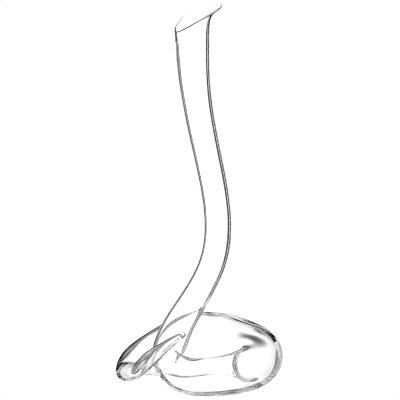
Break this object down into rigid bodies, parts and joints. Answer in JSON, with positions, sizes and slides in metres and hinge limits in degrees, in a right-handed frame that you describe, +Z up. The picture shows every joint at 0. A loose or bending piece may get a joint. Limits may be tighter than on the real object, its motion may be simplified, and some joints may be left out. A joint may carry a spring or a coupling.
{
  "type": "coiled wine decanter",
  "caption": "Tall clear glass decanter: a hollow tube runs from a slanted pouring lip down an S-shaped neck into a lying coil and ends in a closed, rising tail.",
  "frame": {"origin": "on the table plane, in plan at the middle of the vessel's overall length and depth", "axes": "+Z up, +X towards the pouring tip and the fat right side of the coil, +Y towards the back run of the coil; the tail tip and the heel are at the front, -Y"},
  "size_m": [0.2175, 0.1754, 0.4988],
  "materials": {
    "clear_glass": "clear, fire-polished, smooth inside and out"
  },
  "bodies": {
    "root": {"pouring_lip": "clear_glass", "neck": "clear_glass", "heel_bend": "clear_glass", "coil_front": "clear_glass", "coil_right": "clear_glass", "coil_back": "clear_glass", "tail_loop": "clear_glass", "tail_tip": "clear_glass"}
  },
  "joints": []
}
